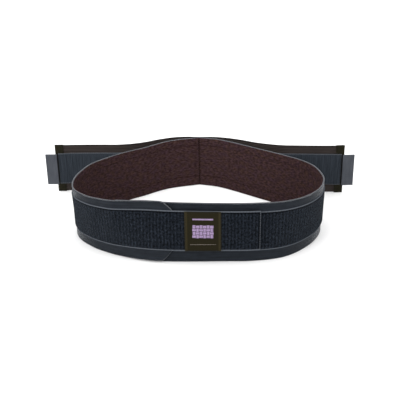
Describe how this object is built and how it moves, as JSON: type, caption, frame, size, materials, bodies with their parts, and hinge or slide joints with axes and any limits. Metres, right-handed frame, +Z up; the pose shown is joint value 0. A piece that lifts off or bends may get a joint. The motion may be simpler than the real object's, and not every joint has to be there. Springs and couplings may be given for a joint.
{
  "type": "sacroiliac belt",
  "caption": "Hip belt of padded webbing with a brushed lining, closed in front by an overlapping hook and loop tongue, with elastic pull straps spread behind.",
  "frame": {"origin": "middle of the belt's footprint, on the surface it stands on", "axes": "+X towards the right panel as seen from the front, +Y from the fastening towards the back seam, +Z up"},
  "size_m": [0.5022, 0.2982, 0.0863],
  "materials": {
    "webbing_left": "close woven webbing, matt",
    "webbing_right": "close woven webbing, matt",
    "lining_left": "brushed knit, matt",
    "lining_right": "brushed knit, matt",
    "loop_tape_left": "loop pile, matt",
    "loop_tape_right": "loop pile, matt",
    "tongue_hook": "small hooks, matt",
    "label": "fine satin weave",
    "elastic_left": "ribbed woven elastic, matt",
    "elastic_right": "ribbed woven elastic, matt",
    "end_cap_left": "plain folded binding, matt",
    "end_cap_right": "plain folded binding, matt",
    "hook_tape_left": "small hooks in close rows, matt",
    "hook_tape_right": "small hooks in close rows, matt",
    "pull_tab_left": "smooth moulded strip, low sheen",
    "pull_tab_right": "smooth moulded strip, low sheen"
  },
  "bodies": {
    "root": {"webbing_left": "webbing_left", "webbing_right": "webbing_right", "lining_left": "lining_left", "lining_right": "lining_right", "loop_tape_left": "loop_tape_left", "loop_tape_right": "loop_tape_right", "tongue_hook": "tongue_hook", "label": "label", "elastic_left": "elastic_left", "elastic_right": "elastic_right", "end_cap_left": "end_cap_left", "end_cap_right": "end_cap_right", "hook_tape_left": "hook_tape_left", "hook_tape_right": "hook_tape_right", "pull_tab_left": "pull_tab_left", "pull_tab_right": "pull_tab_right"}
  },
  "joints": []
}
